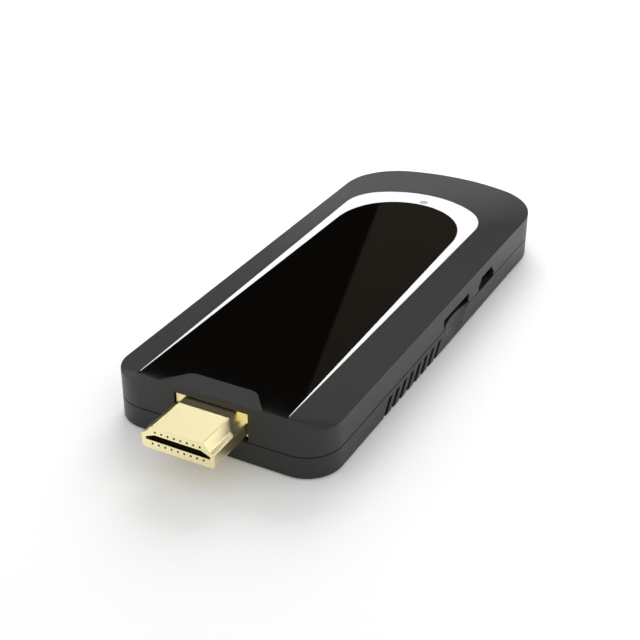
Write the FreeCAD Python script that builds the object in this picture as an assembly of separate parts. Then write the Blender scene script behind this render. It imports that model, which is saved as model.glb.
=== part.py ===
import FreeCAD, Part
import math
import os

os.makedirs("parts", exist_ok=True)
Vector = FreeCAD.Vector

# A plug-in television streaming stick. Millimetres, +Z up, standing on its flat underside.
# +X is the side with the vents, the card slot and the power socket. The HDMI plug points towards -Y.
# The origin is under the middle of the whole length, plug included.
# A "station" is a distance behind the front wall of the case and a "rear margin" is one ahead of its
# far end. Heights are above the underside.

# Case
body_length = 106.4
body_width = 42.5
edge_height = 9.5
crown_height = 11.4
parting_height = 4.5
wall = 1.3
floor_thickness = 1.3
roof_thickness = 1.4
front_corner_radius = 6.6
rear_corner_radius = 13.5
rear_bulge_radius = 40.0
base_chamfer = 0.3

# Joint between the two halves of the case
seam_height = 0.2
seam_depth = 0.25
lip_height = 1.0
lip_thickness = 0.65
lip_clearance = 0.05
catch_length = 4.0
catch_reach = 0.3
catch_height = 0.4
catch_rise = 0.6
catch_clearance = 0.1
catch_end_clearance = 0.2
catch_front_station = 22.0
catch_middle_station = 38.5
catch_rear_margin = 21.4

# Flat crown of the top, its white trim and the black face panel
crown_rim = 0.15
inlay_depth = 0.6
inlay_front_lip = 0.15
inlay_clearance = 0.05
trim_front_width = 29.1
trim_rear_width = 30.0
trim_rear_margin = 16.05
trim_arm_width = 0.06
trim_arm_station = 1.0
trim_front_radius = 0.4
trim_corner_radius = 10.0
trim_bulge_radius = 18.7
band_rear_width = 5.3
panel_rear_width = 25.8
panel_rear_radius = 12.6
panel_side_radius = 16.0
panel_side_turn = 25.0
notch_front_width = 20.3
notch_rear_width = 12.6
notch_depth = 4.65
notch_radius = 2.0

# Printed circuit board
board_middle_height = 7.5
board_thickness = 1.0
board_front_station = 7.6
board_edge_clearance = 0.5
board_rear_clearance = 1.2
board_front_radius = 3.0

# HDMI plug
plug_length = 9.8
plug_width = 13.9
plug_height = 4.45
plug_flat_width = 9.8
plug_crease_width = 12.2
plug_crease_height = 3.05
plug_side_height = 2.65
plug_corner_radius = 0.7
plug_shoulder_radius = 0.35
plug_crease_radius = 0.5
plug_flat_radius = 0.35
plug_skin = 0.4
plug_face = 0.45
plug_slot_width = 12.3
plug_slot_flat_width = 8.8
plug_slot_height = 1.2
plug_slot_side_height = 0.5
plug_slot_corner_radius = 0.15
plug_slot_shoulder_radius = 0.2
plug_slot_depth = 6.5
contact_row_spacing = 2.32
contact_pitch = 1.22
upper_contact_count = 8
lower_contact_count = 9
contact_window = 0.36
contact_width = 0.5
contact_thickness = 0.25
contact_recess = 1.0
contact_pad_length = 1.2
contact_pad_reach = 0.1
contact_tail_length = 2.2
collar_width = 14.0
collar_height = 4.55
collar_recess = 0.45
collar_skin = 0.4
plug_hole_clearance = 0.2

# Power socket, micro-B
usb_station = 70.4
usb_width = 7.9
usb_narrow_width = 5.1
usb_height = 2.5
usb_side_height = 0.9
usb_corner_radius = 0.4
usb_shoulder_radius = 0.3
usb_depth = 5.4
usb_skin = 0.3
usb_mouth_recess = 1.5
usb_hole_clearance = 0.15
usb_tongue_width = 3.7
usb_tongue_thickness = 0.6
usb_tongue_recess = 0.7
usb_block_length = 1.3
usb_contact_count = 5
usb_contact_pitch = 0.65
usb_contact_width = 0.4
usb_contact_thickness = 0.15
usb_tail_length = 0.8

# Memory card slot and its push-push socket
card_station = 54.8
card_notch_width = 12.4
card_notch_height = 6.8
card_tab_height = 4.85
card_tab_thickness = 1.15
card_tab_clearance = 0.1
scoop_radius = 6.0
scoop_depth = 0.75
scoop_height = 6.8
scoop_backing = 1.0
socket_recess = 2.6
socket_depth = 14.6
socket_width = 13.6
socket_height = 1.9
socket_skin = 0.2
socket_base_thickness = 0.5
socket_rear_wall = 1.2
socket_rail_width = 0.9
socket_contact_count = 8
socket_contact_pitch = 1.1
socket_contact_width = 0.6
socket_contact_thickness = 0.15
socket_contact_length = 6.0
socket_contact_bend = 2.4
socket_contact_drop = 0.4
socket_window_count = 3
socket_window_pitch = 3.3
socket_window_length = 4.4
socket_window_inset = 8.0
socket_mouth_radius = 4.2
socket_mouth_depth = 1.8
slider_width = 1.5
slider_length = 6.0
slider_arm_reach = 1.6
slider_arm_length = 1.4
slider_clearance = 0.05
slider_stop_length = 0.8
cam_back = 2.7
cam_point = 3.3
cam_front = 4.8
cam_width = 0.9
cam_depth = 0.45
spring_wire = 0.2
spring_turns = 4.5

# Vents
vent_count = 8
vent_pitch = 3.1
vent_first_station = 25.3
vent_top_height = 3.3
vent_width = 1.2
vent_lean = 0.75
vent_underside_reach = 1.9

# Chips and other pieces on the board
soc_size = 14.0
soc_height = 1.2
soc_station = 36.0
pad_thickness = 0.5
pad_size = 13.0
sink_width = 22.0
sink_length = 24.0
sink_base = 0.8
sink_fin_height = 2.0
sink_fin_thickness = 0.8
sink_fin_count = 8
memory_width = 9.0
memory_length = 13.3
memory_height = 1.1
memory_spacing = 14.0
memory_station = 38.0
flash_width = 11.5
flash_length = 13.0
flash_height = 1.0
flash_station = 62.0
wifi_size = 12.0
wifi_height = 1.7
wifi_rear_margin = 22.4
wifi_offset = -6.0
wifi_can_clearance = 0.5
wifi_card_thickness = 0.6
crystal_width = 3.2
crystal_length = 2.5
crystal_height = 0.8
crystal_station = 22.0
crystal_offset = 8.0
inductor_size = 4.0
inductor_height = 1.8
inductor_bevel = 0.8
inductor_count = 3
inductor_pitch = 5.5
inductor_rear_margin = 40.4
inductor_edge_gap = 3.45
capacitor_length = 1.6
capacitor_width = 0.8
capacitor_height = 0.8
capacitor_count = 6
capacitor_pitch = 2.6
capacitor_station = 24.0
capacitor_edge_gap = 5.65
led_length = 2.0
led_width = 1.25
led_height = 0.9

# Light guide of the status lamp, in the white band behind the panel
lamp_panel_gap = 1.35
lamp_radius = 0.85
lamp_flange_size = 2.6
lamp_flange_height = 0.5
lamp_clearance = 0.05
lamp_gap = 0.2

# Wireless antenna: a thin strip stuck to the left wall, fed by a coaxial lead
antenna_length = 26.0
antenna_height = 4.2
antenna_thickness = 0.4
antenna_rear_margin = 30.4
antenna_base_height = 2.2
lead_radius = 0.4

# Screws and bosses at the plug end, posts under the far end and ribs that hold the board down
screw_station = 14.5
screw_spacing = 31.0
screw_radius = 0.95
screw_length = 5.0
screw_head_radius = 1.75
screw_head_height = 1.2
screw_hole_radius = 1.2
boss_radius = 2.1
pilot_clearance = 0.03
post_rear_margin = 13.4
post_spacing = 25.0
post_size = 3.0
rib_front_station = 30.0
rib_rear_margin = 32.4
rib_reach = 2.0
rib_thickness = 1.2
seat_gap = 0.05

# Places worked out from the sizes above
half_width = body_width / 2
front = -(body_length - plug_length) / 2
rear = front + body_length
tip = front - plug_length
ceiling = crown_height - roof_thickness
board_top = board_middle_height + board_thickness / 2
board_bottom = board_middle_height - board_thickness / 2
board_front = front + board_front_station
board_edge = half_width - wall - board_edge_clearance
plug_bottom = board_middle_height - plug_height / 2
inlay_floor = crown_height - inlay_depth
trim_rear = rear - trim_rear_margin
panel_rear = trim_rear - band_rear_width
crown_front_half = trim_front_width / 2 + crown_rim
crown_rear_half = trim_rear_width / 2 + crown_rim
shoulder_slope = (crown_height - edge_height) / (half_width - crown_front_half)
usb_y = front + usb_station
usb_mouth = half_width - usb_mouth_recess
card_y = front + card_station
socket_mouth = half_width - socket_recess
socket_end = socket_mouth - socket_depth
socket_bottom = board_bottom - socket_height
wifi_y = rear - wifi_rear_margin
lamp_y = panel_rear + lamp_panel_gap


def flat(height):
    """Places an outline drawn in X and Y at a height."""
    return lambda u, v: Vector(u, v, height)


def upright(y):
    """Places an outline drawn in X and Z in a plane square to the length."""
    return lambda u, v: Vector(u, y, v)


def sideways(x):
    """Places an outline drawn in Y and Z in a plane square to the width."""
    return lambda u, v: Vector(x, u, v)


def rounded_wire(corners, place):
    """Closed outline through corners (u, v, radius), each rounded by its own radius."""
    count = len(corners)
    turns = []
    for index, (u, v, radius) in enumerate(corners):
        here = Vector(u, v, 0)
        back = (Vector(*corners[index - 1][:2], 0) - here).normalize()
        ahead = (Vector(*corners[(index + 1) % count][:2], 0) - here).normalize()
        half_angle = back.getAngle(ahead) / 2
        reach = radius / math.tan(half_angle)
        inward = (back + ahead).normalize() * (radius / math.sin(half_angle) - radius)
        turns.append((here + back * reach, here + inward, here + ahead * reach, radius))
    edges = []
    for index, (start, middle, end, radius) in enumerate(turns):
        if radius > 0:
            edges.append(Part.Arc(*[place(p.x, p.y) for p in (start, middle, end)]).toShape())
        following = turns[(index + 1) % count][0]
        if end.distanceToPoint(following) > 1e-6:
            edges.append(Part.LineSegment(place(end.x, end.y), place(following.x, following.y)).toShape())
    return Part.Wire(edges)


def outline_wire(front_half, rear_half, y_front, y_rear, radius, rear_radius, bulge, height):
    """Plan of the case: straight front, rounded corners and a softly bowed far end."""
    bulge_y = y_rear - bulge
    corner_x = rear_half - rear_radius
    corner_y = bulge_y + math.sqrt((bulge - rear_radius) ** 2 - corner_x ** 2)
    reach = bulge / (bulge - rear_radius)
    join_x = corner_x * reach
    join_y = bulge_y + (corner_y - bulge_y) * reach
    turn = math.atan2(corner_y - bulge_y, corner_x)
    middle_x = corner_x + rear_radius * math.cos(turn / 2)
    middle_y = corner_y + rear_radius * math.sin(turn / 2)
    bow = (turn + math.pi / 2) / 2
    bow_x = bulge * math.cos(bow)
    bow_y = bulge_y + bulge * math.sin(bow)
    near_x = front_half - radius
    bend = radius * math.sqrt(0.5)
    point = flat(height)

    def line(x0, y0, x1, y1):
        return Part.LineSegment(point(x0, y0), point(x1, y1)).toShape()

    def arc(x0, y0, x1, y1, x2, y2):
        return Part.Arc(point(x0, y0), point(x1, y1), point(x2, y2)).toShape()

    return Part.Wire([
        line(-near_x, y_front, near_x, y_front),
        arc(near_x, y_front, near_x + bend, y_front + radius - bend, front_half, y_front + radius),
        line(front_half, y_front + radius, rear_half, corner_y),
        arc(rear_half, corner_y, middle_x, middle_y, join_x, join_y),
        arc(join_x, join_y, bow_x, bow_y, 0, y_rear),
        arc(0, y_rear, -bow_x, bow_y, -join_x, join_y),
        arc(-join_x, join_y, -middle_x, middle_y, -rear_half, corner_y),
        line(-rear_half, corner_y, -front_half, y_front + radius),
        arc(-front_half, y_front + radius, -near_x - bend, y_front + radius - bend, -near_x, y_front),
    ])


def case_wire(inset, height):
    return outline_wire(
        half_width - inset, half_width - inset, front + inset, rear - inset,
        front_corner_radius - inset, rear_corner_radius - inset, rear_bulge_radius - inset, height)


def crown_wire(y_front, height):
    return outline_wire(
        crown_front_half, crown_rear_half, y_front, trim_rear + crown_rim,
        trim_front_radius + crown_rim, trim_corner_radius + crown_rim,
        trim_bulge_radius + crown_rim, height)


def trim_wire(inset, height):
    return outline_wire(
        trim_front_width / 2 - inset, trim_rear_width / 2 - inset,
        front + inlay_front_lip + inset, trim_rear - inset,
        trim_front_radius, trim_corner_radius - inset, trim_bulge_radius - inset, height)


def notch_corners(y_front):
    """Slanted notch in the front of the panel, drawn from left to right, open towards the front."""
    y_back = front + notch_depth
    slant = (notch_front_width - notch_rear_width) / 2 / notch_depth
    front_half = notch_front_width / 2 - slant * (y_front - front)
    return [
        (-front_half, y_front, 0),
        (-notch_rear_width / 2, y_back, notch_radius),
        (notch_rear_width / 2, y_back, notch_radius),
        (front_half, y_front, 0),
    ]


def panel_wire(notched, height):
    """Plan of the face panel: tapered sides that turn in gently to a round far end, and the notch."""
    y_front = front + inlay_front_lip + inlay_clearance
    half_front = trim_front_width / 2 - 2 * inlay_clearance - trim_arm_width
    half_rear = panel_rear_width / 2
    front_radius = trim_front_radius - inlay_clearance
    turn = math.radians(panel_side_turn)
    end_half = panel_rear_radius * math.tan((math.pi / 2 - turn) / 2)
    y_turn = panel_rear - (half_rear - end_half) / math.tan(turn)
    side_bend = turn - math.atan2(half_front - half_rear, y_turn - y_front)
    side_room = (half_rear - end_half) / math.sin(turn) - end_half
    side_radius = min(panel_side_radius, side_room / math.tan(side_bend / 2))
    notch = notch_corners(y_front) if notched else []
    return rounded_wire([
        (-half_front, y_front, front_radius),
        *notch,
        (half_front, y_front, front_radius),
        (half_rear, y_turn, side_radius),
        (end_half, panel_rear, panel_rear_radius),
        (-end_half, panel_rear, panel_rear_radius),
        (-half_rear, y_turn, side_radius),
    ], flat(height))


def prism(wire, along):
    return Part.Face(wire).extrude(along)


def raised(wire, depth):
    return prism(wire, Vector(0, 0, depth))


def block(x0, x1, y0, y1, z0, z1):
    return Part.makeBox(x1 - x0, y1 - y0, z1 - z0, Vector(x0, y0, z0))


def centred_block(x, y, width, length, z0, z1):
    return block(x - width / 2, x + width / 2, y - length / 2, y + length / 2, z0, z1)


def rod(x, y, radius, z0, z1):
    return Part.makeCylinder(radius, z1 - z0, Vector(x, y, z0))


def grown(wire, distance):
    """The same outline moved outwards by a distance, or inwards if it is negative."""
    return Part.Face(wire).makeOffset2D(distance).OuterWire


def joined(shapes):
    return shapes[0].fuse(shapes[1:]).removeSplitter()


def spread(count, pitch):
    """Evenly spaced places about zero."""
    return [(index - (count - 1) / 2) * pitch for index in range(count)]


# Openings that the case shares with the pieces behind them

def usb_section():
    side = usb_width / 2
    narrow = usb_narrow_width / 2
    z0 = board_bottom - usb_height
    z1 = z0 + usb_side_height
    right = [(side, z0, usb_corner_radius), (side, z1, usb_shoulder_radius),
             (narrow, board_bottom, usb_shoulder_radius)]
    left = [(-u, v, radius) for u, v, radius in reversed(right)]
    return [(usb_y + u, v, radius) for u, v, radius in right + left]


def usb_opening():
    hole = grown(rounded_wire(usb_section(), sideways(half_width - 2 * wall)), usb_hole_clearance)
    return prism(hole, Vector(3 * wall, 0, 0))


def card_opening(clearance):
    half = card_notch_width / 2 - clearance
    return block(half_width - 2 * wall, half_width + wall, card_y - half, card_y + half,
                 parting_height, card_notch_height)


def plug_opening():
    half = collar_width / 2 + plug_hole_clearance
    top = board_middle_height + collar_height / 2 + plug_hole_clearance
    return block(-half, half, front - wall, front + 2 * wall, parting_height, top)


def screw_places():
    return [(side * screw_spacing / 2, front + screw_station) for side in (-1, 1)]


def catch_blocks(reach, length, height):
    """Bars along both sides, standing out of the lip by a reach."""
    z = parting_height + catch_rise
    outer = half_width - wall + lip_thickness + reach
    inner = half_width - wall + lip_thickness / 2
    bars = []
    for y in (front + catch_front_station, front + catch_middle_station, rear - catch_rear_margin):
        for side in (-1, 1):
            x0, x1 = sorted((side * inner, side * outer))
            bars.append(block(x0, x1, y - length / 2, y + length / 2, z - height / 2, z + height / 2))
    return bars


# The two halves of the case

def upper_outer():
    sides = raised(case_wire(0, parting_height), edge_height - parting_height)
    shoulders = Part.makeLoft([case_wire(0, edge_height), crown_wire(front, crown_height)], True, True)
    return joined([sides, shoulders])


def upper_inner():
    """Room inside: straight walls, the flat part under the crown and the slopes beside it."""
    half = half_width - wall
    inner_edge = ceiling - shoulder_slope * (half - crown_front_half)
    sides = raised(case_wire(wall, parting_height), inner_edge - parting_height)
    crown = raised(crown_wire(front + wall, inner_edge), ceiling - inner_edge)
    y_front = front + front_corner_radius
    y_rear = trim_rear - trim_corner_radius - 2 * wall
    slopes = rounded_wire([
        (-half, inner_edge, 0), (half, inner_edge, 0),
        (crown_front_half, ceiling, 0), (-crown_front_half, ceiling, 0),
    ], upright(y_front))
    return joined([sides, crown, prism(slopes, Vector(0, y_rear - y_front, 0))])


def hold_down_ribs():
    """Ribs from the side walls that stop just above the edges of the board."""
    ribs = []
    for y in (front + rib_front_station, rear - rib_rear_margin):
        for side in (-1, 1):
            x0, x1 = sorted((side * (board_edge - rib_reach), side * half_width))
            ribs.append(block(x0, x1, y - rib_thickness / 2, y + rib_thickness / 2,
                              board_top + seat_gap, crown_height))
    return ribs


def make_upper_shell():
    outer = upper_outer()
    shell = outer.cut(upper_inner())
    shell = shell.fuse([outer.common(rib) for rib in hold_down_ribs()])
    lip_room = raised(case_wire(wall - lip_thickness - lip_clearance, parting_height),
                      lip_height + lip_clearance * 2)
    inlay = raised(trim_wire(0, inlay_floor), inlay_depth * 2)
    notch = raised(rounded_wire(notch_corners(front - wall), flat(inlay_floor)), inlay_depth * 2)
    lamp_hole = rod(0, lamp_y, lamp_radius + lamp_clearance, board_top, crown_height)
    catches = catch_blocks(catch_reach + lip_clearance, catch_length + 2 * catch_end_clearance,
                           catch_height + 2 * catch_clearance)
    tools = [lip_room, inlay.cut(notch), lamp_hole, usb_opening(), card_opening(0), plug_opening()]
    return shell.cut(tools + catches).removeSplitter()


def vent_slots():
    """Slots with a level top that lean towards the plug and run down through the bottom edge."""
    half_run = vent_width / 2 * math.sqrt(1 + vent_lean ** 2)
    low = -wall
    drift = vent_lean * (vent_top_height - low)
    slots = []
    for index in range(vent_count):
        y_top = front + vent_first_station + index * vent_pitch
        y_low = y_top - drift
        wire = rounded_wire([
            (y_top - half_run, vent_top_height, 0), (y_top + half_run, vent_top_height, 0),
            (y_low + half_run, low, 0), (y_low - half_run, low, 0),
        ], sideways(half_width - vent_underside_reach))
        slot = prism(wire, Vector(vent_underside_reach + wall, 0, 0))
        slots += [slot, slot.mirror(Vector(0, 0, 0), Vector(1, 0, 0))]
    return slots


def make_lower_shell():
    foot = Part.makeLoft([case_wire(base_chamfer, 0), case_wire(0, base_chamfer)], True, True)
    seam_floor = parting_height - seam_height
    sides = raised(case_wire(0, base_chamfer), seam_floor - base_chamfer)
    rim = raised(case_wire(seam_depth, seam_floor), seam_height)
    hollow = raised(case_wire(wall, floor_thickness), parting_height)
    tray = joined([foot, sides, rim]).cut(hollow)

    lip = raised(case_wire(wall - lip_thickness, parting_height), lip_height)
    gap = lip_thickness
    lip = lip.cut([
        raised(case_wire(wall, parting_height), lip_height),
        block(-collar_width / 2 - gap, collar_width / 2 + gap, front, front + 2 * wall,
              parting_height, parting_height + lip_height),
        block(half_width - 2 * wall, half_width, usb_y - usb_width / 2 - gap, usb_y + usb_width / 2 + gap,
              parting_height, parting_height + lip_height),
        card_opening(-gap),
    ])
    catches = [bar.common(raised(case_wire(wall - lip_thickness - catch_reach, parting_height), lip_height))
               for bar in catch_blocks(catch_reach, catch_length, catch_height)]

    tab = card_opening(card_tab_clearance).common(
        raised(case_wire(0, parting_height), card_tab_height - parting_height))
    tab = tab.cut(raised(case_wire(card_tab_thickness, parting_height), card_tab_height))
    half_card = card_notch_width / 2 - card_tab_clearance
    backing = block(half_width - wall - scoop_backing, half_width - wall,
                    card_y - half_card, card_y + half_card, floor_thickness, parting_height)
    bosses = [rod(x, y, boss_radius, floor_thickness, board_bottom) for x, y in screw_places()]
    posts = [centred_block(x, rear - post_rear_margin, post_size, post_size, floor_thickness, board_bottom)
             for x in spread(2, post_spacing)]
    body = joined([tray, lip, tab, backing] + catches + bosses + posts)

    ball_radius = (scoop_radius ** 2 + scoop_depth ** 2) / (2 * scoop_depth)
    ball_x = half_width + ball_radius - scoop_depth
    scoop = Part.makeSphere(ball_radius, Vector(ball_x, card_y, scoop_height))
    pilots = [rod(x, y, screw_radius + pilot_clearance, floor_thickness, board_bottom)
              for x, y in screw_places()]
    return body.cut([scoop, usb_opening()] + vent_slots() + pilots).removeSplitter()


# Trim, panel and light guide in the top

def make_white_trim():
    """Band round the panel, widest behind it, whose two arms taper away towards the plug."""
    ring = raised(trim_wire(inlay_clearance, inlay_floor), inlay_depth)
    middle = raised(grown(panel_wire(False, inlay_floor), inlay_clearance), inlay_depth)
    mouth = centred_block(0, front + trim_arm_station / 2, trim_front_width, trim_arm_station,
                          inlay_floor, crown_height)
    lamp_hole = rod(0, lamp_y, lamp_radius + lamp_clearance, inlay_floor, crown_height)
    return ring.cut([middle, mouth, lamp_hole])


def make_face_panel():
    return raised(panel_wire(True, inlay_floor), inlay_depth)


def make_light_guide():
    low = board_top + led_height + lamp_gap
    flange_top = ceiling - seat_gap
    return joined([
        rod(0, lamp_y, lamp_radius, low, crown_height),
        centred_block(0, lamp_y, lamp_flange_size, lamp_flange_size,
                      flange_top - lamp_flange_height, flange_top),
    ])


# HDMI plug

def plug_section(y):
    half = plug_width / 2
    crease = plug_crease_width / 2
    top_half = plug_flat_width / 2
    z0 = plug_bottom
    side = z0 + plug_side_height
    bend = z0 + plug_crease_height
    top = z0 + plug_height
    right = [(half, z0, plug_corner_radius), (half, side, plug_shoulder_radius),
             (crease, bend, plug_crease_radius), (top_half, top, plug_flat_radius)]
    left = [(-u, v, radius) for u, v, radius in reversed(right)]
    return rounded_wire(right + left, upright(y))


def slot_section(y):
    """Opening for the mating tongue: wide below, drawn in above like the shell around it."""
    half = plug_slot_width / 2
    top_half = plug_slot_flat_width / 2
    z0 = board_middle_height - plug_slot_height / 2
    side = z0 + plug_slot_side_height
    top = z0 + plug_slot_height
    right = [(half, z0, plug_slot_corner_radius), (half, side, plug_slot_shoulder_radius),
             (top_half, top, plug_slot_shoulder_radius)]
    left = [(-u, v, radius) for u, v, radius in reversed(right)]
    return rounded_wire(right + left, upright(y))


def contact_rows():
    rise = contact_row_spacing / 2
    upper = [(x, board_middle_height + rise) for x in spread(upper_contact_count, contact_pitch)]
    lower = [(x, board_middle_height - rise) for x in spread(lower_contact_count, contact_pitch)]
    return upper, lower


def make_hdmi_shell():
    collar_front = front + collar_recess
    nose = prism(plug_section(tip), Vector(0, collar_front + collar_skin - tip, 0))
    inside = grown(plug_section(tip + plug_face), -plug_skin)
    bore = prism(inside, Vector(0, collar_front + 2 * collar_skin - tip, 0))
    half = collar_width / 2
    z0 = board_middle_height - collar_height / 2
    z1 = z0 + collar_height
    box_outer = block(-half, half, collar_front, board_front, z0, z1)
    box_inner = block(-half + collar_skin, half - collar_skin, collar_front + collar_skin,
                      board_front + collar_skin, z0 + collar_skin, z1 - collar_skin)
    shell = joined([nose, box_outer.cut(box_inner)])
    reach = contact_window / 2
    windows = [block(x - reach, x + reach, tip, tip + plug_face, z - reach, z + reach)
               for row in contact_rows() for x, z in row]
    slot = prism(slot_section(tip), Vector(0, plug_face * 2, 0))
    return shell.cut([bore, slot] + windows).removeSplitter()


def contact_strip(x, z, upper):
    """One contact: a pad that reaches into the plug's slot, a straight blade, and a tail on the board."""
    x0 = x - contact_width / 2
    x1 = x + contact_width / 2
    start = tip + plug_face + contact_recess
    step = board_front - contact_tail_length / 2
    lift = contact_thickness / 2
    away = 1 if upper else -1
    seat = board_top if upper else board_bottom
    blade = block(x0, x1, start, step, z - lift, z + lift)
    pad_z = sorted((z, board_middle_height + away * (plug_slot_height / 2 - contact_pad_reach)))
    pad = block(x0, x1, start, start + contact_pad_length, *pad_z)
    tail_z = sorted((seat, seat + away * contact_thickness))
    tail = block(x0, x1, step, board_front + contact_tail_length, *tail_z)
    riser_z = sorted((z + away * lift, seat))
    riser = block(x0, x1, step - contact_thickness, step, *riser_z)
    return joined([blade, pad, riser, tail])


def make_contacts(upper):
    row = contact_rows()[0 if upper else 1]
    return Part.makeCompound([contact_strip(x, z, upper) for x, z in row])


def make_hdmi_insulator():
    start = tip + plug_face
    collar_inside = front + collar_recess + collar_skin
    core = prism(grown(plug_section(start), -plug_skin), Vector(0, collar_inside - start, 0))
    half = collar_width / 2 - collar_skin
    rise = collar_height / 2 - collar_skin
    back = block(-half, half, collar_inside, board_front - contact_tail_length / 2 - contact_thickness,
                 board_middle_height - rise, board_middle_height + rise)
    slot = prism(slot_section(start), Vector(0, plug_slot_depth, 0))
    return joined([core, back]).cut([slot, make_contacts(True), make_contacts(False)])


# Circuit board and what stands on it

def make_main_board():
    whole = raised(case_wire(half_width - board_edge, board_bottom), board_thickness)
    y_rear = rear - wall - board_edge_clearance - board_rear_clearance
    corners = [(-board_edge, board_front, board_front_radius), (board_edge, board_front, board_front_radius),
               (board_edge, y_rear, 0), (-board_edge, y_rear, 0)]
    board = whole.common(raised(rounded_wire(corners, flat(board_bottom)), board_thickness))
    holes = [rod(x, y, screw_hole_radius, board_bottom, board_top) for x, y in screw_places()]
    return board.cut(holes)


def hung(x, y, width, length, height, gap=0):
    """A flat piece under the board."""
    top = board_bottom - gap
    return centred_block(x, y, width, length, top - height, top)


def stood(x, y, width, length, height):
    """A flat piece on top of the board."""
    return centred_block(x, y, width, length, board_top, board_top + height)


def make_soc_chip():
    return hung(0, front + soc_station, soc_size, soc_size, soc_height)


def make_thermal_pad():
    return hung(0, front + soc_station, pad_size, pad_size, pad_thickness, soc_height)


def make_heat_sink():
    y = front + soc_station
    top = soc_height + pad_thickness
    base = hung(0, y, sink_width, sink_length, sink_base, top)
    pitch = (sink_width - sink_fin_thickness) / (sink_fin_count - 1)
    fins = [hung(x, y, sink_fin_thickness, sink_length, sink_fin_height, top + sink_base)
            for x in spread(sink_fin_count, pitch)]
    return joined([base] + fins)


def make_memory_chips():
    return Part.makeCompound([
        stood(x, front + memory_station, memory_width, memory_length, memory_height)
        for x in spread(2, memory_spacing)])


def make_flash_chip():
    return stood(0, front + flash_station, flash_width, flash_length, flash_height)


def make_wifi_module():
    card = hung(wifi_offset, wifi_y, wifi_size, wifi_size, wifi_card_thickness)
    can_size = wifi_size - 2 * wifi_can_clearance
    can = hung(wifi_offset, wifi_y, can_size, can_size, wifi_height - wifi_card_thickness,
               wifi_card_thickness)
    return joined([card, can])


def make_clock_crystal():
    return stood(crystal_offset, front + crystal_station, crystal_width, crystal_length, crystal_height)


def make_inductors():
    """Square power inductors with cut corners, in a row under the left edge of the board."""
    half = inductor_size / 2
    cut = half - inductor_bevel
    x = -board_edge + inductor_edge_gap + half
    pieces = []
    for along in spread(inductor_count, inductor_pitch):
        y = rear - inductor_rear_margin + along
        outline = [(-cut, -half), (cut, -half), (half, -cut), (half, cut),
                   (cut, half), (-cut, half), (-half, cut), (-half, -cut)]
        wire = rounded_wire([(x + u, y + v, 0) for u, v in outline], flat(board_bottom - inductor_height))
        pieces.append(raised(wire, inductor_height))
    return Part.makeCompound(pieces)


def make_capacitors():
    x = -board_edge + capacitor_edge_gap + capacitor_length / 2
    return Part.makeCompound([
        stood(x, front + capacitor_station + along, capacitor_length, capacitor_width, capacitor_height)
        for along in spread(capacitor_count, capacitor_pitch)])


def make_status_led():
    return stood(0, lamp_y, led_length, led_width, led_height)


# Power socket

def make_usb_shell():
    outer = rounded_wire(usb_section(), sideways(usb_mouth - usb_depth))
    inner = grown(outer, -usb_skin)
    return prism(outer, Vector(usb_depth, 0, 0)).cut(prism(inner, Vector(usb_depth, 0, 0)))


def usb_tongue_height():
    return board_bottom - usb_height / 2


def usb_contact_strips():
    """Contacts lie on the tongue, run through the block and turn out onto the board."""
    z = usb_tongue_height() + usb_tongue_thickness / 2
    back = usb_mouth - usb_depth
    strips = []
    for along in spread(usb_contact_count, usb_contact_pitch):
        y0 = usb_y + along - usb_contact_width / 2
        y1 = y0 + usb_contact_width
        blade = block(back - usb_contact_thickness, usb_mouth - 2 * usb_tongue_recess, y0, y1,
                      z, z + usb_contact_thickness)
        riser = block(back - usb_contact_thickness, back, y0, y1, z + usb_contact_thickness, board_bottom)
        tail = block(back - usb_contact_thickness - usb_tail_length, back - usb_contact_thickness, y0, y1,
                     board_bottom - usb_contact_thickness, board_bottom)
        strips.append(joined([blade, riser, tail]))
    return strips


def make_usb_tongue():
    inner = grown(rounded_wire(usb_section(), sideways(usb_mouth - usb_depth)), -usb_skin)
    rear_block = prism(inner, Vector(usb_block_length, 0, 0))
    half = usb_tongue_width / 2
    z = usb_tongue_height()
    tongue = block(usb_mouth - usb_depth, usb_mouth - usb_tongue_recess, usb_y - half, usb_y + half,
                   z - usb_tongue_thickness / 2, z + usb_tongue_thickness / 2)
    return joined([rear_block, tongue]).cut(usb_contact_strips())


# Card socket: a steel cover over a moulded base, with a sprung slider beside the card

socket_half = socket_width / 2
socket_inner = socket_half - socket_skin
socket_floor = socket_bottom + socket_skin
base_bottom = board_bottom - socket_base_thickness
slider_front = socket_mouth - slider_stop_length
slider_y = card_y + socket_inner - slider_width / 2 - slider_clearance
spring_radius = (base_bottom - socket_floor) / 2 - slider_clearance - spring_wire


def make_socket_cover():
    outer = block(socket_end, socket_mouth, card_y - socket_half, card_y + socket_half,
                  socket_bottom, board_bottom)
    inner = block(socket_end - socket_skin, socket_mouth + socket_skin, card_y - socket_inner,
                  card_y + socket_inner, socket_floor, board_bottom)
    windows = [centred_block(socket_mouth - socket_window_inset, card_y + along, socket_window_length,
                             socket_contact_width, socket_bottom, socket_floor)
               for along in spread(socket_window_count, socket_window_pitch)]
    mouth = rod(socket_mouth + socket_mouth_radius - socket_mouth_depth, card_y, socket_mouth_radius,
                socket_bottom, socket_floor)
    return outer.cut([inner, mouth] + windows)


def make_socket_base():
    y0 = card_y - socket_inner
    y1 = card_y + socket_inner
    plate = block(socket_end, socket_mouth, y0, y1, base_bottom, board_bottom)
    rear_wall = block(socket_end, socket_end + socket_rear_wall, y0, y1, socket_floor, base_bottom)
    rail = block(socket_end, socket_mouth, y0, y0 + socket_rail_width, socket_floor, base_bottom)
    stop = block(slider_front, socket_mouth, y1 - slider_width, y1, socket_floor, base_bottom)
    return joined([plate, rear_wall, rail, stop])


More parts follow.
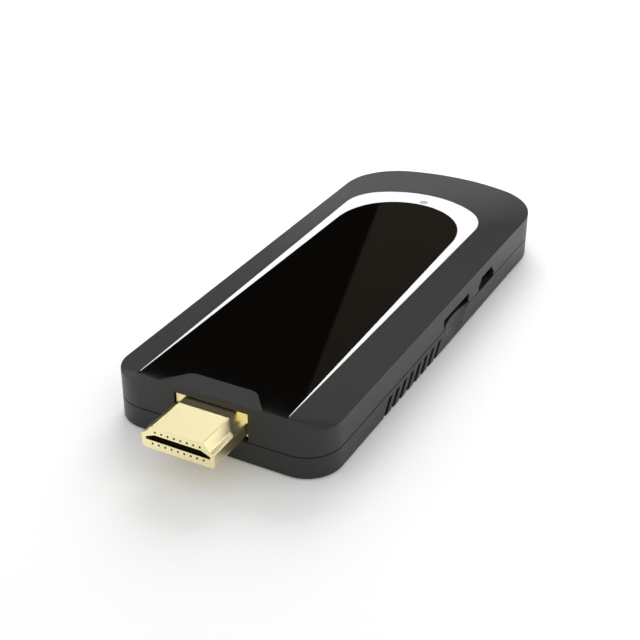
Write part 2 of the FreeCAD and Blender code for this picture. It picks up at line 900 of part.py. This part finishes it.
def make_socket_contacts():
    """Spring fingers that hang from the base and press on the card's pads."""
    strips = []
    root = socket_end + socket_rear_wall
    bend_x = root + socket_contact_bend
    tip_x = root + socket_contact_length
    thick = socket_contact_thickness
    low = base_bottom - thick - socket_contact_drop
    for along in spread(socket_contact_count, socket_contact_pitch):
        y = card_y - socket_rail_width / 2 + along - slider_arm_reach / 2 - socket_contact_width / 2
        points = [
            (root, base_bottom), (root, base_bottom - thick), (bend_x, base_bottom - thick),
            (tip_x - 2 * thick, low), (tip_x, low + thick), (tip_x, low + 2 * thick),
            (tip_x - 2 * thick, low + thick), (bend_x, base_bottom),
        ]
        wire = rounded_wire([(u, v, 0) for u, v in points], upright(y))
        strips.append(prism(wire, Vector(0, socket_contact_width, 0)))
    return Part.makeCompound(strips)


def make_card_slider():
    """Slider with the arm that meets the card's end and the heart-shaped groove of the latch."""
    z0 = socket_floor + slider_clearance
    z1 = base_bottom - slider_clearance
    x0 = slider_front - slider_clearance - slider_length
    x1 = slider_front - slider_clearance
    body = centred_block((x0 + x1) / 2, slider_y, slider_length, slider_width, z0, z1)
    y_arm = slider_y - slider_width / 2 - slider_arm_reach
    arm = block(x0, x0 + slider_arm_length, y_arm, slider_y, z0, z1)
    heart = rounded_wire([
        (x0 + cam_back, slider_y - cam_width / 2, 0), (x0 + cam_front, slider_y, 0),
        (x0 + cam_back, slider_y + cam_width / 2, 0), (x0 + cam_point, slider_y, 0),
    ], flat(z0))
    return joined([body, arm]).cut(raised(heart, cam_depth))


def make_eject_spring():
    """Coil of square wire between the slider and the socket's rear wall."""
    start = socket_end + socket_rear_wall + slider_clearance
    end = slider_front - 2 * slider_clearance - slider_length
    height = end - start - spring_wire
    helix = Part.makeHelix(height / spring_turns, height, spring_radius)
    half = spring_wire / 2
    profile = rounded_wire([
        (spring_radius - half, -half, 0), (spring_radius + half, -half, 0),
        (spring_radius + half, half, 0), (spring_radius - half, half, 0),
    ], upright(0))
    coil = Part.Wire(helix).makePipeShell([profile], True, True)
    coil.rotate(Vector(0, 0, 0), Vector(0, 1, 0), 90)
    coil.translate(Vector(start + spring_wire / 2, slider_y, (socket_floor + base_bottom) / 2))
    return coil


# Antenna and screws

def make_antenna_strip():
    x = -(half_width - wall)
    y = rear - antenna_rear_margin
    return block(x, x + antenna_thickness, y - antenna_length / 2, y + antenna_length / 2,
                 antenna_base_height, antenna_base_height + antenna_height)


def make_antenna_lead():
    """Short coaxial lead from the side of the wireless module's can to the antenna strip."""
    x_strip = -(half_width - wall) + antenna_thickness
    x_can = wifi_offset - wifi_size / 2 + wifi_can_clearance
    z = board_bottom - (wifi_card_thickness + wifi_height) / 2
    return Part.makeCylinder(lead_radius, x_can - x_strip, Vector(x_strip, wifi_y, z), Vector(1, 0, 0))


def make_screw(x, y):
    return joined([
        rod(x, y, screw_head_radius, board_top, board_top + screw_head_height),
        rod(x, y, screw_radius, board_top - screw_length, board_top),
    ])


pieces = {
    "upper_shell": make_upper_shell(),
    "lower_shell": make_lower_shell(),
    "white_trim": make_white_trim(),
    "face_panel": make_face_panel(),
    "light_guide": make_light_guide(),
    "hdmi_shell": make_hdmi_shell(),
    "hdmi_insulator": make_hdmi_insulator(),
    "hdmi_contacts_upper": make_contacts(True),
    "hdmi_contacts_lower": make_contacts(False),
    "main_board": make_main_board(),
    "soc_chip": make_soc_chip(),
    "thermal_pad": make_thermal_pad(),
    "heat_sink": make_heat_sink(),
    "memory_chips": make_memory_chips(),
    "flash_chip": make_flash_chip(),
    "wifi_module": make_wifi_module(),
    "clock_crystal": make_clock_crystal(),
    "power_inductors": make_inductors(),
    "board_capacitors": make_capacitors(),
    "status_led": make_status_led(),
    "usb_shell": make_usb_shell(),
    "usb_tongue": make_usb_tongue(),
    "usb_contacts": Part.makeCompound(usb_contact_strips()),
    "card_socket_cover": make_socket_cover(),
    "card_socket_base": make_socket_base(),
    "card_contacts": make_socket_contacts(),
    "card_slider": make_card_slider(),
    "eject_spring": make_eject_spring(),
    "antenna_strip": make_antenna_strip(),
    "antenna_lead": make_antenna_lead(),
    "board_screws": Part.makeCompound([make_screw(x, y) for x, y in screw_places()]),
}

for name, shape in pieces.items():
    shape.exportStep("parts/%s.step" % name)
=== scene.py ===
import math

import bmesh
import bpy
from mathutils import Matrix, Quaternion, Vector


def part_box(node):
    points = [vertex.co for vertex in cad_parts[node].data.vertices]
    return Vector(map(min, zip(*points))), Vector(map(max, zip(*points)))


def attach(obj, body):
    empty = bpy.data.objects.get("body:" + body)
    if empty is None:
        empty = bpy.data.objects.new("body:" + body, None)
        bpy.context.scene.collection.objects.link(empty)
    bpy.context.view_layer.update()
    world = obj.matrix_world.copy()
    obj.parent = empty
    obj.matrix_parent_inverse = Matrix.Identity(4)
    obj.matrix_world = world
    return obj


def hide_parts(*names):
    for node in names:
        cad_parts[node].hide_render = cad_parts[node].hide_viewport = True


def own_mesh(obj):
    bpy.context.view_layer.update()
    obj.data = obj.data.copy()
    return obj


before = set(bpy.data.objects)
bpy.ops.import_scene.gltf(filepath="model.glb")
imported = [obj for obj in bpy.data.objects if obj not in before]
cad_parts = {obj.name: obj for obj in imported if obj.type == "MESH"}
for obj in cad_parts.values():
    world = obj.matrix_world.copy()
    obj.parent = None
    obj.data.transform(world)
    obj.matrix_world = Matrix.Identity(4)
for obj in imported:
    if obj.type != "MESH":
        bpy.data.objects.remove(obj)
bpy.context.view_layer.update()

# A plug-in streaming stick on a white table: the finishes of its pieces, the ejector's coil, the studio
# and the camera.
# Metres, in the part's own frame: the plug points towards -Y, the sockets are on the +X side.

MM = 0.001
scene = bpy.context.scene


def linear(hex_colour):
    """An sRGB hex value as linear red, green, blue and alpha."""
    channels = [int(hex_colour[place:place + 2], 16) / 255 for place in (1, 3, 5)]
    return tuple(c / 12.92 if c <= 0.04045 else ((c + 0.055) / 1.055) ** 2.4 for c in channels) + (1.0,)


def add(tree, kind, inputs=None, **settings):
    """Adds a node. Its inputs are plain values, or sockets to link."""
    made = tree.nodes.new("ShaderNode" + kind)
    for name, value in settings.items():
        setattr(made, name, value)
    for socket, value in (inputs or {}).items():
        if isinstance(value, bpy.types.NodeSocket):
            tree.links.new(value, made.inputs[socket])
        else:
            made.inputs[socket].default_value = value
    return made


def per_metre(millimetres):
    """Scale of a pattern whose grain has this real size."""
    return 1 / (millimetres * MM)


def new_finish(name, colour, roughness, **more):
    """A material with one Principled shader. Returns the material, its node tree and the shader."""
    material = bpy.data.materials.new(name)
    material.use_nodes = True
    tree = material.node_tree
    tree.nodes.clear()
    inputs = {"Base Color": linear(colour), "Roughness": roughness}
    inputs.update({socket.replace("_", " "): value for socket, value in more.items()})
    shader = add(tree, "BsdfPrincipled", inputs)
    add(tree, "OutputMaterial", {"Surface": shader.outputs["BSDF"]})
    return material, tree, shader


def place(tree):
    """Coordinates in metres that move with the piece."""
    return add(tree, "TexCoord").outputs["Object"]


def stretched(tree, x, y, z):
    """The same coordinates, stretched where a factor is below one."""
    return add(tree, "Mapping", {"Vector": place(tree), "Scale": (x, y, z)}).outputs["Vector"]


def grain(tree, millimetres, detail=2.0, vector=None):
    return add(tree, "TexNoise", {
        "Vector": vector or place(tree), "Scale": per_metre(millimetres), "Detail": detail}).outputs["Fac"]


def relief(tree, shader, height, depth_mm):
    """Presses a pattern into the surface to a real depth."""
    bump = add(tree, "Bump", {"Height": height, "Distance": depth_mm * MM})
    tree.links.new(bump.outputs["Normal"], shader.inputs["Normal"])


def varied(tree, shader, socket, factor, low, high):
    """Lets a pattern drive a number between two values."""
    ramp = add(tree, "MapRange", {"Value": factor, "To Min": low, "To Max": high})
    tree.links.new(ramp.outputs["Result"], shader.inputs[socket])


def inside_box(tree, middle, reach):
    """One within reach of the middle along all three axes, zero elsewhere. Both in millimetres."""
    axes = add(tree, "SeparateXYZ", {"Vector": place(tree)})
    mask = 1.0
    for axis in range(3):
        near = add(tree, "Math", {0: axes.outputs[axis], 1: middle[axis] * MM, 2: reach[axis] * MM},
                   operation="COMPARE").outputs[0]
        mask = add(tree, "Math", {0: near, 1: mask}, operation="MULTIPLY").outputs[0]
    return mask


def tinted(tree, shader, factor, low, high, start=0.0, end=1.0):
    """Lets a pattern drive the colour between two hex values."""
    ramp = add(tree, "ValToRGB", {"Fac": factor})
    ramp.color_ramp.elements[0].position = start
    ramp.color_ramp.elements[1].position = end
    ramp.color_ramp.elements[0].color = linear(low)
    ramp.color_ramp.elements[1].color = linear(high)
    tree.links.new(ramp.outputs["Color"], shader.inputs["Base Color"])


# Plastics of the case

def spark_textured_abs():
    """Charcoal ABS from a spark-eroded mould: an even, dull satin with a grain too fine to see as dots."""
    material, tree, shader = new_finish("spark_textured_abs", "#252525", 0.42, IOR=1.5,
                                        Specular_IOR_Level=0.4)
    fine = grain(tree, 0.16)
    tinted(tree, shader, grain(tree, 7.0, 3.0), "#242424", "#262626", 0.35, 0.65)
    varied(tree, shader, "Roughness", fine, 0.38, 0.46)
    relief(tree, shader, fine, 0.006)
    return material


def polished_black_acrylic():
    """Cast black acrylic with a polished face: black, with clean reflections that are hardly blurred."""
    material, tree, shader = new_finish("polished_black_acrylic", "#0a0806", 0.03, IOR=1.49)
    varied(tree, shader, "Roughness", grain(tree, 4.0), 0.02, 0.04)
    return material


def glossy_white_abs():
    """White ABS from a polished mould: clean white with a soft gloss."""
    material, tree, shader = new_finish("glossy_white_abs", "#fdfdfd", 0.25, IOR=1.5)
    varied(tree, shader, "Roughness", grain(tree, 1.5), 0.22, 0.3)
    return material


def frosted_light_pipe():
    """Clear acrylic with a frosted end: light grey until the lamp behind it is lit."""
    material, tree, shader = new_finish("frosted_light_pipe", "#b8b8b8", 0.4, IOR=1.49,
                                        Subsurface_Weight=0.3, Subsurface_Scale=0.5 * MM)
    varied(tree, shader, "Roughness", grain(tree, 0.08), 0.35, 0.5)
    return material


# Metals

# The small openings of the plug's face, where the gold is painted dark brown as shade, in millimetres. They
# start a hair behind the tip.
SHADED_OPENINGS_START = 0.01
SHADED_OPENINGS_REACH = (5.2, 0.5, 1.45)


def gold_plated_brass():
    """Thin bright gold over drawn brass sheet: pale yellow, softly mirror-like, with fine drawing lines
    along the plug. Inside the small openings of its face the colour turns to a dark brown: painted shade."""
    gold = "#fbeebd"
    material, tree, shader = new_finish("gold_plated_brass", gold, 0.3, Metallic=1.0)
    low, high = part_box("hdmi_shell")
    middle = (0.0, low[1] / MM + SHADED_OPENINGS_START + SHADED_OPENINGS_REACH[1], (low[2] + high[2]) / 2 / MM)
    # Painted shade: dark brown on the walls inside the face's small openings.
    tinted(tree, shader, inside_box(tree, middle, SHADED_OPENINGS_REACH), gold, "#140e06")
    lines = grain(tree, 0.12, 2.0, stretched(tree, 1, 0.04, 1))
    varied(tree, shader, "Roughness", lines, 0.27, 0.33)
    relief(tree, shader, lines, 0.0004)
    return material


def gold_flashed_contact():
    """Gold flash on springy copper alloy: deeper yellow than the plug, with rolling lines."""
    material, tree, shader = new_finish("gold_flashed_contact", "#e8c46a", 0.25, Metallic=1.0)
    lines = grain(tree, 0.08, 2.0, stretched(tree, 0.1, 0.1, 1))
    varied(tree, shader, "Roughness", lines, 0.2, 0.32)
    return material


def painted_shade_contact():
    """Stamped phosphor bronze coloured nearly black all over as painted shade, so that the plug's small
    windows look dark: dull.
    """
    material, tree, shader = new_finish("painted_shade_contact", "#1c150a", 0.5, Metallic=1.0)
    varied(tree, shader, "Roughness", grain(tree, 0.08), 0.45, 0.6)
    return material


def tin_plated_steel():
    """Electro-tinned sheet steel: grey-white, dull mirror with a faint cloudy spangle."""
    material, tree, shader = new_finish("tin_plated_steel", "#c9c9c4", 0.3, Metallic=1.0)
    spangle = add(tree, "TexVoronoi", {"Vector": place(tree), "Scale": per_metre(0.9)}).outputs["Color"]
    varied(tree, shader, "Roughness", spangle, 0.26, 0.38)
    tinted(tree, shader, spangle, "#c2c2bd", "#d0d0cb")
    return material


def extruded_aluminium():
    """Plain extruded aluminium: light grey with die lines along its length."""
    material, tree, shader = new_finish("extruded_aluminium", "#d2d2d4", 0.35, Metallic=1.0)
    lines = grain(tree, 0.1, 3.0, stretched(tree, 1, 0.02, 1))
    varied(tree, shader, "Roughness", lines, 0.28, 0.42)
    relief(tree, shader, lines, 0.003)
    return material


def drawn_spring_wire():
    """Cold-drawn spring steel: bright grey. Drawing marks are too fine to show, so only its gloss varies."""
    material, tree, shader = new_finish("drawn_spring_wire", "#b4b4b4", 0.28, Metallic=1.0)
    varied(tree, shader, "Roughness", grain(tree, 0.05), 0.24, 0.34)
    return material


def zinc_plated_steel():
    """Bright zinc on steel screws: cool blue-grey with uneven passivation."""
    material, tree, shader = new_finish("zinc_plated_steel", "#a9acb1", 0.3, Metallic=1.0)
    cloud = grain(tree, 0.6, 3.0)
    tinted(tree, shader, cloud, "#9da1a8", "#b3b3ae", 0.3, 0.7)
    varied(tree, shader, "Roughness", cloud, 0.24, 0.38)
    return material


# Pieces on and around the board

def glass_filled_polymer():
    """Moulded liquid-crystal polymer with glass fibre: brown-black and dull, with short fine fibre marks."""
    material, tree, shader = new_finish("glass_filled_polymer", "#251b10", 0.55, IOR=1.62)
    fibres = grain(tree, 0.07, 2.0, stretched(tree, 1, 0.2, 1))
    varied(tree, shader, "Roughness", fibres, 0.48, 0.64)
    relief(tree, shader, fibres, 0.003)
    return material


def green_solder_mask():
    """Glass-epoxy board under green solder mask: glossy, the copper tracks show as lighter green."""
    material, tree, shader = new_finish("green_solder_mask", "#123d24", 0.22, IOR=1.55)
    tracks = add(tree, "TexBrick", {
        "Vector": place(tree), "Scale": per_metre(1.0), "Mortar Size": 0.08, "Brick Width": 3.1,
        "Row Height": 0.6, "Color1": (0, 0, 0, 1), "Color2": (0, 0, 0, 1), "Mortar": (1, 1, 1, 1)})
    tinted(tree, shader, tracks.outputs["Color"], "#0f3a20", "#1d5a32")
    relief(tree, shader, tracks.outputs["Color"], 0.02)
    return material


def moulded_chip_epoxy():
    """Transfer-moulded epoxy round a chip: flat black-grey with a sandy surface."""
    material, tree, shader = new_finish("moulded_chip_epoxy", "#1f1f20", 0.6, IOR=1.55)
    sand = grain(tree, 0.08)
    varied(tree, shader, "Roughness", sand, 0.55, 0.7)
    relief(tree, shader, sand, 0.004)
    return material


def cast_silicone_pad():
    """Soft thermal silicone: pale blue-grey and chalky, with filler specks."""
    material, tree, shader = new_finish("cast_silicone_pad", "#8fa8bd", 0.8, IOR=1.41,
                                        Subsurface_Weight=0.1, Subsurface_Scale=0.3 * MM)
    tinted(tree, shader, grain(tree, 0.15), "#86a0b6", "#9ab0c3", 0.3, 0.7)
    return material


def pressed_ferrite():
    """Pressed and fired ferrite: dark grey, stony."""
    material, tree, shader = new_finish("pressed_ferrite", "#3b3b3d", 0.7, IOR=1.6)
    stone = grain(tree, 0.12, 4.0)
    tinted(tree, shader, stone, "#313133", "#46464a", 0.3, 0.7)
    relief(tree, shader, stone, 0.006)
    return material


def fired_ceramic():
    """Fired capacitor ceramic: tan-brown and waxy, with a fine speckle."""
    material, tree, shader = new_finish("fired_ceramic", "#9c8468", 0.45, IOR=1.6)
    tinted(tree, shader, grain(tree, 0.06), "#927a5f", "#a68e72", 0.3, 0.7)
    return material


def moulded_nylon():
    """Natural moulded nylon: milky off-white, slightly see-through at its edges."""
    material, tree, shader = new_finish("moulded_nylon", "#cdc8bb", 0.45, IOR=1.53,
                                        Subsurface_Weight=0.2, Subsurface_Scale=0.4 * MM)
    varied(tree, shader, "Roughness", grain(tree, 0.2), 0.4, 0.52)
    return material


def extruded_lead_jacket():
    """Extruded polymer jacket of a coaxial lead: black with a soft sheen."""
    material, tree, shader = new_finish("extruded_lead_jacket", "#171717", 0.4, IOR=1.4)
    varied(tree, shader, "Roughness", grain(tree, 0.1, 2.0, stretched(tree, 1, 0.1, 1)), 0.35, 0.5)
    return material


def coverlay_film():
    """Black polyimide film over copper: satin black, faintly uneven over the copper."""
    material, tree, shader = new_finish("coverlay_film", "#1c1b1a", 0.35, IOR=1.6)
    relief(tree, shader, grain(tree, 2.0), 0.01)
    varied(tree, shader, "Roughness", grain(tree, 0.3), 0.3, 0.42)
    return material


def lamp_phosphor():
    """Moulded lamp body with phosphor gel: white with a yellow cast."""
    material, tree, shader = new_finish("lamp_phosphor", "#e9e3b8", 0.4, IOR=1.5,
                                        Subsurface_Weight=0.2, Subsurface_Scale=0.3 * MM)
    tinted(tree, shader, grain(tree, 0.2), "#e3dcab", "#f0ebcb", 0.3, 0.7)
    return material


finishes = {
    spark_textured_abs(): ["upper_shell", "lower_shell"],
    polished_black_acrylic(): ["face_panel"],
    glossy_white_abs(): ["white_trim"],
    frosted_light_pipe(): ["light_guide"],
    gold_plated_brass(): ["hdmi_shell"],
    # The plug's contacts are coloured nearly black: painted shade for the small windows of its face.
    painted_shade_contact(): ["hdmi_contacts_upper", "hdmi_contacts_lower"],
    gold_flashed_contact(): ["usb_contacts", "card_contacts"],
    tin_plated_steel(): ["usb_shell", "card_socket_cover", "wifi_module", "clock_crystal"],
    extruded_aluminium(): ["heat_sink"],
    drawn_spring_wire(): ["eject_spring"],
    zinc_plated_steel(): ["board_screws"],
    glass_filled_polymer(): ["hdmi_insulator", "usb_tongue", "card_socket_base"],
    green_solder_mask(): ["main_board"],
    moulded_chip_epoxy(): ["soc_chip", "memory_chips", "flash_chip"],
    cast_silicone_pad(): ["thermal_pad"],
    pressed_ferrite(): ["power_inductors"],
    fired_ceramic(): ["board_capacitors"],
    moulded_nylon(): ["card_slider"],
    extruded_lead_jacket(): ["antenna_lead"],
    coverlay_film(): ["antenna_strip"],
    lamp_phosphor(): ["status_led"],
}
for finish, names in finishes.items():
    for name in names:
        node_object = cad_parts[name]
        node_object.data.materials.clear()
        node_object.data.materials.append(finish)


# The ejector's coil

def wire_along(points, radius, sides):
    """A mesh tube of round wire along points that wind round the X axis, closed at both ends."""
    mesh = bmesh.new()
    rings = []
    for index, point in enumerate(points):
        along = (points[min(index + 1, len(points) - 1)] - points[max(index - 1, 0)]).normalized()
        outward = Vector((0, point.y, point.z)).normalized()
        across = along.cross(outward).normalized()
        outward = across.cross(along)
        rings.append([mesh.verts.new(point + radius * (math.cos(turn) * outward + math.sin(turn) * across))
                      for turn in (2 * math.pi * side / sides for side in range(sides))])
    for ring, following in zip(rings, rings[1:]):
        for side in range(sides):
            after = (side + 1) % sides
            mesh.faces.new((ring[side], ring[after], following[after], following[side]))
    mesh.faces.new(reversed(rings[0]))
    mesh.faces.new(rings[-1])
    return mesh


SPRING_WIRE = 0.2 * MM
SPRING_TURNS = 6
SPRING_CLOSED_TURNS = 1
STEPS_PER_TURN = 24
WIRE_SIDES = 10


def make_eject_coil():
    """The spring in round wire, with a closed turn at each end."""
    low, high = (Vector(corner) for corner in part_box("eject_spring"))
    middle = (low + high) / 2
    coil_radius = (high.z - low.z - SPRING_WIRE) / 2
    length = high.x - low.x
    open_run = length - SPRING_WIRE * (1 + 2 * SPRING_CLOSED_TURNS)
    open_turns = SPRING_TURNS - 2 * SPRING_CLOSED_TURNS
    points = []
    for step in range(SPRING_TURNS * STEPS_PER_TURN + 1):
        turn = step / STEPS_PER_TURN
        opened = min(max(turn - SPRING_CLOSED_TURNS, 0), open_turns)
        x = SPRING_WIRE * (0.5 + turn - opened) + open_run * opened / open_turns
        angle = 2 * math.pi * turn
        points.append(Vector((x, coil_radius * math.cos(angle), coil_radius * math.sin(angle))))
    tube = wire_along(points, SPRING_WIRE / 2, WIRE_SIDES)
    bmesh.ops.translate(tube, verts=tube.verts, vec=(low.x, middle.y, middle.z))
    bmesh.ops.recalc_face_normals(tube, faces=tube.faces)
    for face in tube.faces:
        face.smooth = len(face.verts) < WIRE_SIDES
    mesh = bpy.data.meshes.new("eject_coil")
    tube.to_mesh(mesh)
    tube.free()
    mesh.materials.append(bpy.data.materials["drawn_spring_wire"])
    coil = bpy.data.objects.new("eject_coil", mesh)
    scene.collection.objects.link(coil)
    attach(coil, "stick")
    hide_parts("eject_spring")
    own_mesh(coil)


make_eject_coil()


# Studio: a white table, a soft key light behind the stick and cards for the panel and the plug to mirror

def card_material(name, colour, glow=1.0):
    """An even glow. A glow of one shows the colour as written."""
    material = bpy.data.materials.new(name)
    material.use_nodes = True
    tree = material.node_tree
    tree.nodes.clear()
    shader = add(tree, "Emission", {"Color": linear(colour), "Strength": glow})
    add(tree, "OutputMaterial", {"Surface": shader.outputs[0]})
    return material


def seen_rays(tree):
    """One for a ray that shows the background: from the camera, or mirrored or refracted by a piece."""
    path = add(tree, "LightPath")
    either = add(tree, "Math", {0: path.outputs["Is Camera Ray"], 1: path.outputs["Is Glossy Ray"]},
                 operation="MAXIMUM")
    return add(tree, "Math", {0: either.outputs[0], 1: path.outputs["Is Transmission Ray"]},
               operation="MAXIMUM").outputs[0]


def quad(name, corners, material):
    """A flat piece of the stage."""
    mesh = bpy.data.meshes.new(name)
    mesh.from_pydata(corners, [], [tuple(range(len(corners)))])
    mesh.materials.append(material)
    made = bpy.data.objects.new(name, mesh)
    scene.collection.objects.link(made)
    return made


TABLE_REACH = 4.0
TABLE_WHITE = "#fdfdfd"
TABLE_LIFT = 0.08
FAR_TABLE_LIFT = 0.4
TABLE_FADE_START = 0.3
TABLE_FADE_END = 0.9
TABLE_DROP = 0.05 * MM
SKY_LOW = 0.82
SKY_HIGH = 0.67


def make_table():
    """White, a hair under the stick, fading to the background's white far away, and clear from below."""
    material = bpy.data.materials.new("white_table")
    material.use_nodes = True
    tree = material.node_tree
    tree.nodes.clear()
    diffuse = add(tree, "BsdfDiffuse", {"Color": linear(TABLE_WHITE)})
    distance = add(tree, "VectorMath", {0: place(tree)}, operation="LENGTH").outputs["Value"]
    level = add(tree, "MapRange", {
        "Value": distance, "From Min": TABLE_FADE_START, "From Max": TABLE_FADE_END,
        "To Min": TABLE_LIFT, "To Max": FAR_TABLE_LIFT}).outputs["Result"]
    lift = add(tree, "Math", {0: seen_rays(tree), 1: level}, operation="MULTIPLY")
    glow = add(tree, "Emission", {"Strength": lift.outputs[0]})
    both = add(tree, "AddShader", {0: diffuse.outputs[0], 1: glow.outputs[0]})
    clear = add(tree, "BsdfTransparent").outputs[0]
    below = add(tree, "NewGeometry").outputs["Backfacing"]
    table = add(tree, "MixShader", {0: below, 1: both.outputs[0], 2: clear})
    add(tree, "OutputMaterial", {"Surface": table.outputs[0]})
    quad("table", [(x * TABLE_REACH, y * TABLE_REACH, -TABLE_DROP)
                   for x, y in ((-1, -1), (1, -1), (1, 1), (-1, 1))], material)


def make_sky():
    """Even soft light, a little weaker from above than from the sides. It is seen as plain white."""
    world = bpy.data.worlds.new("studio")
    scene.world = world
    world.use_nodes = True
    tree = world.node_tree
    tree.nodes.clear()
    direction = add(tree, "TexCoord").outputs["Generated"]
    height = add(tree, "SeparateXYZ", {"Vector": direction}).outputs["Z"]
    lighting = add(tree, "MapRange", {"Value": height, "To Min": SKY_LOW, "To Max": SKY_HIGH})
    level = add(tree, "MapRange", {
        "Value": seen_rays(tree), "To Min": lighting.outputs["Result"], "To Max": 1.0})
    sky = add(tree, "Background", {"Color": (1, 1, 1, 1), "Strength": level.outputs["Result"]})
    add(tree, "OutputWorld", {"Surface": sky.outputs[0]})


def make_key_light(azimuth, elevation, distance, size, power):
    """A square soft light. Azimuth is counted in degrees from +X towards +Y."""
    data = bpy.data.lights.new("key_light", "AREA")
    data.shape = "SQUARE"
    data.size = size
    data.energy = power
    lamp = bpy.data.objects.new("key_light", data)
    flat_distance = distance * math.cos(math.radians(elevation))
    lamp.location = (flat_distance * math.cos(math.radians(azimuth)),
                     flat_distance * math.sin(math.radians(azimuth)),
                     distance * math.sin(math.radians(elevation)))
    lamp.rotation_euler = (-lamp.location).to_track_quat("-Z", "Y").to_euler()
    lamp.visible_glossy = False
    scene.collection.objects.link(lamp)


# Cards that only mirrored rays meet, in metres. Behind the stick a black card fills most of what the panel
# mirrors, and a brown card beside it gives the panel its paler right-hand part. A pale card to their right
# lights the plug's shoulder. All three reach up to a bright strip, brightest where the plug's top mirrors
# it. A black flag above the strip keeps the near end of the case dark, and a low black card on the left
# keeps the sloping left shoulder dark. A level says how many times white a card is.
CARD_Y = 0.45
CARD_BOTTOM = 0.11
CARD_TOP = 0.407
CARD_LEFT = -2.0
CARD_RIGHT = 1.5
CARD_JOINT_X = -0.1295
CARD_JOINT_LEAN = -0.33
LOW_CARD_RIGHT = -0.355
GREY_LEFT = 0.15
GREY_LEVEL = 1.1
FLAG_BOTTOM = 0.47
FLAG_TOP = 1.4
STRIP_LEVEL = 2.5
PLUG_STRIP_LEVEL = 5.2
PLUG_STRIP_LEFT = -0.45
PLUG_STRIP_RIGHT = -0.2
SIDE_STRIP_LEVEL = 4.0


def make_card(name, material, left, right, low, high):
    """An upright card behind the stick. Left and right each hold an edge's x, below and above."""
    card = quad(name, [(left[0], CARD_Y, low), (right[0], CARD_Y, low),
                       (right[1], CARD_Y, high), (left[1], CARD_Y, high)], material)
    card.visible_camera = False
    card.visible_diffuse = False
    card.visible_shadow = False


def make_cards():
    black = card_material("black_card", "#000000")
    brown = card_material("brown_card", "#5e5449")
    grey = card_material("grey_card", "#ffffff", GREY_LEVEL)
    strip = card_material("bright_strip", "#ffffff", STRIP_LEVEL)
    side_strip = card_material("side_strip", "#ffffff", SIDE_STRIP_LEVEL)
    plug_strip = card_material("plug_strip", "#ffffff", PLUG_STRIP_LEVEL)
    joint = tuple(CARD_JOINT_X + CARD_JOINT_LEAN * z for z in (CARD_BOTTOM, CARD_TOP))
    far_left, far_right, grey_left = ((x, x) for x in (CARD_LEFT, CARD_RIGHT, GREY_LEFT))
    low_right, plug_left, plug_right = ((x, x) for x in (LOW_CARD_RIGHT, PLUG_STRIP_LEFT, PLUG_STRIP_RIGHT))
    for name, material, left, right, low, high in (
            ("card_black", black, far_left, joint, CARD_BOTTOM, CARD_TOP),
            ("card_brown", brown, joint, grey_left, CARD_BOTTOM, CARD_TOP),
            ("card_grey", grey, grey_left, far_right, CARD_BOTTOM, CARD_TOP),
            ("flag_above", black, far_left, far_right, FLAG_BOTTOM, FLAG_TOP),
            ("strip_left", strip, far_left, plug_left, CARD_TOP, FLAG_BOTTOM),
            ("strip_plug", plug_strip, plug_left, plug_right, CARD_TOP, FLAG_BOTTOM),
            ("strip_right", side_strip, plug_right, far_right, CARD_TOP, FLAG_BOTTOM),
            ("card_left", black, far_left, low_right, 0, CARD_BOTTOM)):
        make_card(name, material, left, right, low, high)


make_table()
make_sky()
make_key_light(azimuth=111, elevation=33, distance=0.45, size=0.32, power=1.4)
make_cards()


# Camera: the photograph's viewpoint

CAMERA_PLACE = Vector((96.48, -191.31, 124.48)) * MM
CAMERA_VIEW = Vector((-0.40671, 0.76548, -0.49863))
CAMERA_ROLL = 0.149
CAMERA_LENS = 70.31
SENSOR_WIDTH = 36.0


def make_camera():
    data = bpy.data.cameras.new("camera")
    data.lens = CAMERA_LENS
    data.sensor_width = SENSOR_WIDTH
    data.clip_start = 0.01
    data.clip_end = 20
    camera = bpy.data.objects.new("camera", data)
    camera.location = CAMERA_PLACE
    camera.rotation_mode = "QUATERNION"
    camera.rotation_quaternion = (CAMERA_VIEW.to_track_quat("-Z", "Y")
                                  @ Quaternion((0, 0, 1), math.radians(CAMERA_ROLL)))
    scene.collection.objects.link(camera)
    scene.camera = camera


make_camera()
scene.view_settings.view_transform = "Standard"
